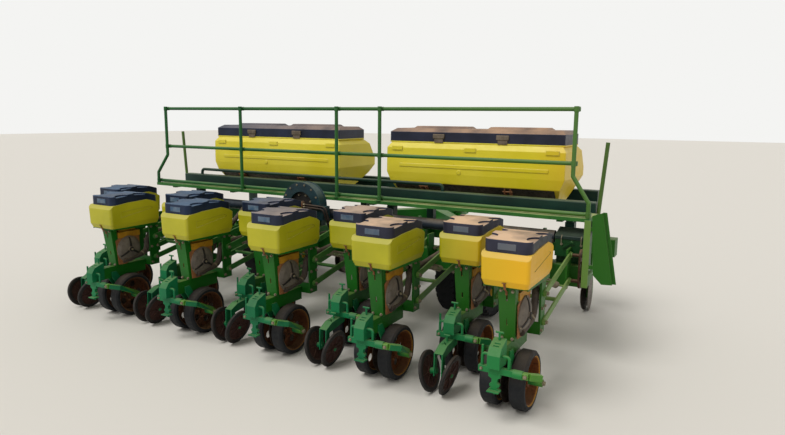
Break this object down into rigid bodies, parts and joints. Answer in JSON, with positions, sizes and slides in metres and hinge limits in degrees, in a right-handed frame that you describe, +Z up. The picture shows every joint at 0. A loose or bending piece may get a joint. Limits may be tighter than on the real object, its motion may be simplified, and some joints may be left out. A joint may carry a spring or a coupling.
{
  "type": "row crop planter",
  "caption": "Towed row crop planter with staggered row units, seed and fertiliser hoppers, a vacuum fan, a rear catwalk with handrail and a drawbar.",
  "frame": {"origin": "on the floor under the middle of the bounding box", "axes": "+X to the right as seen from behind, +Y forward to the drawbar, +Z up"},
  "size_m": [5.2863, 4.95, 2.05],
  "materials": {
    "frame_green": "worn paint",
    "walk_green": "worn paint",
    "stand_teal": "paint",
    "hopper_yellow": "matte",
    "lid_navy": "dusty",
    "meter_grey": "dusty",
    "hose_brown": "dusty",
    "pipe_black": "matte",
    "pan_steel": "dirty",
    "disc_steel": "rusty",
    "tyre_black": "dusty"
  },
  "bodies": {
    "chassis": {"rear_toolbar": "frame_green", "front_toolbar": "frame_green", "frame_beams": "frame_green", "drawbar": "frame_green", "parking_jack": "frame_green", "row_unit_beams": "frame_green", "row_unit_posts": "frame_green", "hopper_trays": "frame_green", "parallel_arms": "frame_green", "depth_bars": "frame_green", "rear_brackets": "frame_green", "opener_discs": "disc_steel", "seed_hoppers": "hopper_yellow", "seed_meters": "meter_grey", "vacuum_manifold": "pipe_black", "meter_hoses": "hose_brown", "vacuum_fan": "frame_green", "fertiliser_hoppers": "hopper_yellow", "fertiliser_pans": "pan_steel", "hopper_stand": "stand_teal", "catwalk": "walk_green", "handrail": "walk_green", "transport_legs": "frame_green", "fertiliser_openers": "disc_steel", "drive_box": "frame_green", "side_guard": "frame_green"},
    "gauge_wheels_01": {"gauge_wheels_01": "tyre_black"},
    "seed_lid_01": {"seed_lid_01": "lid_navy"},
    "closing_wheel_01_left": {"closing_wheel_01_left": "tyre_black"},
    "closing_wheel_01_right": {"closing_wheel_01_right": "tyre_black"},
    "gauge_wheels_02": {"gauge_wheels_02": "tyre_black"},
    "seed_lid_02": {"seed_lid_02": "lid_navy"},
    "gauge_wheels_03": {"gauge_wheels_03": "tyre_black"},
    "seed_lid_03": {"seed_lid_03": "lid_navy"},
    "closing_wheel_03_left": {"closing_wheel_03_left": "tyre_black"},
    "closing_wheel_03_right": {"closing_wheel_03_right": "tyre_black"},
    "gauge_wheels_04": {"gauge_wheels_04": "tyre_black"},
    "seed_lid_04": {"seed_lid_04": "lid_navy"},
    "gauge_wheels_05": {"gauge_wheels_05": "tyre_black"},
    "seed_lid_05": {"seed_lid_05": "lid_navy"},
    "closing_wheel_05_left": {"closing_wheel_05_left": "tyre_black"},
    "closing_wheel_05_right": {"closing_wheel_05_right": "tyre_black"},
    "gauge_wheels_06": {"gauge_wheels_06": "tyre_black"},
    "seed_lid_06": {"seed_lid_06": "lid_navy"},
    "gauge_wheels_07": {"gauge_wheels_07": "tyre_black"},
    "seed_lid_07": {"seed_lid_07": "lid_navy"},
    "closing_wheel_07_left": {"closing_wheel_07_left": "tyre_black"},
    "closing_wheel_07_right": {"closing_wheel_07_right": "tyre_black"},
    "gauge_wheels_08": {"gauge_wheels_08": "tyre_black"},
    "seed_lid_08": {"seed_lid_08": "lid_navy"},
    "gauge_wheels_09": {"gauge_wheels_09": "tyre_black"},
    "seed_lid_09": {"seed_lid_09": "lid_navy"},
    "closing_wheel_09_left": {"closing_wheel_09_left": "tyre_black"},
    "closing_wheel_09_right": {"closing_wheel_09_right": "tyre_black"},
    "gauge_wheels_10": {"gauge_wheels_10": "tyre_black"},
    "seed_lid_10": {"seed_lid_10": "lid_navy"},
    "fertiliser_lid_left": {"fertiliser_lid_left": "lid_navy"},
    "transport_wheels_left": {"transport_wheels_left": "tyre_black"},
    "fertiliser_lid_right": {"fertiliser_lid_right": "lid_navy"},
    "transport_wheels_right": {"transport_wheels_right": "tyre_black"}
  },
  "joints": [
    {"name": "gauge_spin_01", "type": "hinge", "parent": "chassis", "child": "gauge_wheels_01", "pos_m": [-2.375, -1.671, 0.205], "axis": [1, 0, 0], "continuous": true},
    {"name": "seed_lid_hinge_01", "type": "hinge", "parent": "chassis", "child": "seed_lid_01", "pos_m": [-2.375, -1.335, 1.083], "axis": [-1, 0, 0], "range_deg": [0, 90]},
    {"name": "closing_spin_01_left", "type": "hinge", "parent": "chassis", "child": "closing_wheel_01_left", "pos_m": [-2.455, -2.181, 0.14869], "axis": [0.9703, 0, 0.2419], "continuous": true},
    {"name": "closing_spin_01_right", "type": "hinge", "parent": "chassis", "child": "closing_wheel_01_right", "pos_m": [-2.295, -2.181, 0.14869], "axis": [0.9703, 0, -0.2419], "continuous": true},
    {"name": "gauge_spin_02", "type": "hinge", "parent": "chassis", "child": "gauge_wheels_02", "pos_m": [-1.875, -2.105, 0.205], "axis": [1, 0, 0], "continuous": true},
    {"name": "seed_lid_hinge_02", "type": "hinge", "parent": "chassis", "child": "seed_lid_02", "pos_m": [-1.875, -1.769, 1.083], "axis": [-1, 0, 0], "range_deg": [0, 90]},
    {"name": "gauge_spin_03", "type": "hinge", "parent": "chassis", "child": "gauge_wheels_03", "pos_m": [-1.375, -1.671, 0.205], "axis": [1, 0, 0], "continuous": true},
    {"name": "seed_lid_hinge_03", "type": "hinge", "parent": "chassis", "child": "seed_lid_03", "pos_m": [-1.375, -1.335, 1.083], "axis": [-1, 0, 0], "range_deg": [0, 90]},
    {"name": "closing_spin_03_left", "type": "hinge", "parent": "chassis", "child": "closing_wheel_03_left", "pos_m": [-1.455, -2.181, 0.14869], "axis": [0.9703, 0, 0.2419], "continuous": true},
    {"name": "closing_spin_03_right", "type": "hinge", "parent": "chassis", "child": "closing_wheel_03_right", "pos_m": [-1.295, -2.181, 0.14869], "axis": [0.9703, 0, -0.2419], "continuous": true},
    {"name": "gauge_spin_04", "type": "hinge", "parent": "chassis", "child": "gauge_wheels_04", "pos_m": [-0.875, -2.105, 0.205], "axis": [1, 0, 0], "continuous": true},
    {"name": "seed_lid_hinge_04", "type": "hinge", "parent": "chassis", "child": "seed_lid_04", "pos_m": [-0.875, -1.769, 1.083], "axis": [-1, 0, 0], "range_deg": [0, 90]},
    {"name": "gauge_spin_05", "type": "hinge", "parent": "chassis", "child": "gauge_wheels_05", "pos_m": [-0.375, -1.671, 0.205], "axis": [1, 0, 0], "continuous": true},
    {"name": "seed_lid_hinge_05", "type": "hinge", "parent": "chassis", "child": "seed_lid_05", "pos_m": [-0.375, -1.335, 1.083], "axis": [-1, 0, 0], "range_deg": [0, 90]},
    {"name": "closing_spin_05_left", "type": "hinge", "parent": "chassis", "child": "closing_wheel_05_left", "pos_m": [-0.455, -2.181, 0.14869], "axis": [0.9703, 0, 0.2419], "continuous": true},
    {"name": "closing_spin_05_right", "type": "hinge", "parent": "chassis", "child": "closing_wheel_05_right", "pos_m": [-0.295, -2.181, 0.14869], "axis": [0.9703, 0, -0.2419], "continuous": true},
    {"name": "gauge_spin_06", "type": "hinge", "parent": "chassis", "child": "gauge_wheels_06", "pos_m": [0.125, -2.105, 0.205], "axis": [1, 0, 0], "continuous": true},
    {"name": "seed_lid_hinge_06", "type": "hinge", "parent": "chassis", "child": "seed_lid_06", "pos_m": [0.125, -1.769, 1.083], "axis": [-1, 0, 0], "range_deg": [0, 90]},
    {"name": "gauge_spin_07", "type": "hinge", "parent": "chassis", "child": "gauge_wheels_07", "pos_m": [0.625, -1.671, 0.205], "axis": [1, 0, 0], "continuous": true},
    {"name": "seed_lid_hinge_07", "type": "hinge", "parent": "chassis", "child": "seed_lid_07", "pos_m": [0.625, -1.335, 1.083], "axis": [-1, 0, 0], "range_deg": [0, 90]},
    {"name": "closing_spin_07_left", "type": "hinge", "parent": "chassis", "child": "closing_wheel_07_left", "pos_m": [0.545, -2.181, 0.14869], "axis": [0.9703, 0, 0.2419], "continuous": true},
    {"name": "closing_spin_07_right", "type": "hinge", "parent": "chassis", "child": "closing_wheel_07_right", "pos_m": [0.705, -2.181, 0.14869], "axis": [0.9703, 0, -0.2419], "continuous": true},
    {"name": "gauge_spin_08", "type": "hinge", "parent": "chassis", "child": "gauge_wheels_08", "pos_m": [1.125, -2.105, 0.205], "axis": [1, 0, 0], "continuous": true},
    {"name": "seed_lid_hinge_08", "type": "hinge", "parent": "chassis", "child": "seed_lid_08", "pos_m": [1.125, -1.769, 1.083], "axis": [-1, 0, 0], "range_deg": [0, 90]},
    {"name": "gauge_spin_09", "type": "hinge", "parent": "chassis", "child": "gauge_wheels_09", "pos_m": [1.625, -1.671, 0.205], "axis": [1, 0, 0], "continuous": true},
    {"name": "seed_lid_hinge_09", "type": "hinge", "parent": "chassis", "child": "seed_lid_09", "pos_m": [1.625, -1.335, 1.083], "axis": [-1, 0, 0], "range_deg": [0, 90]},
    {"name": "closing_spin_09_left", "type": "hinge", "parent": "chassis", "child": "closing_wheel_09_left", "pos_m": [1.545, -2.181, 0.14869], "axis": [0.9703, 0, 0.2419], "continuous": true},
    {"name": "closing_spin_09_right", "type": "hinge", "parent": "chassis", "child": "closing_wheel_09_right", "pos_m": [1.705, -2.181, 0.14869], "axis": [0.9703, 0, -0.2419], "continuous": true},
    {"name": "gauge_spin_10", "type": "hinge", "parent": "chassis", "child": "gauge_wheels_10", "pos_m": [2.125, -2.105, 0.205], "axis": [1, 0, 0], "continuous": true},
    {"name": "seed_lid_hinge_10", "type": "hinge", "parent": "chassis", "child": "seed_lid_10", "pos_m": [2.125, -1.769, 1.083], "axis": [-1, 0, 0], "range_deg": [0, 90]},
    {"name": "fertiliser_lid_hinge_left", "type": "hinge", "parent": "chassis", "child": "fertiliser_lid_left", "pos_m": [-1.345, 0.124, 1.722], "axis": [-1, 0, 0], "range_deg": [0, 100]},
    {"name": "transport_spin_left", "type": "hinge", "parent": "chassis", "child": "transport_wheels_left", "pos_m": [-1.375, -0.305, 0.4], "axis": [1, 0, 0], "continuous": true},
    {"name": "fertiliser_lid_hinge_right", "type": "hinge", "parent": "chassis", "child": "fertiliser_lid_right", "pos_m": [1.095, 0.124, 1.722], "axis": [-1, 0, 0], "range_deg": [0, 100]},
    {"name": "transport_spin_right", "type": "hinge", "parent": "chassis", "child": "transport_wheels_right", "pos_m": [1.125, -0.305, 0.4], "axis": [1, 0, 0], "continuous": true}
  ]
}
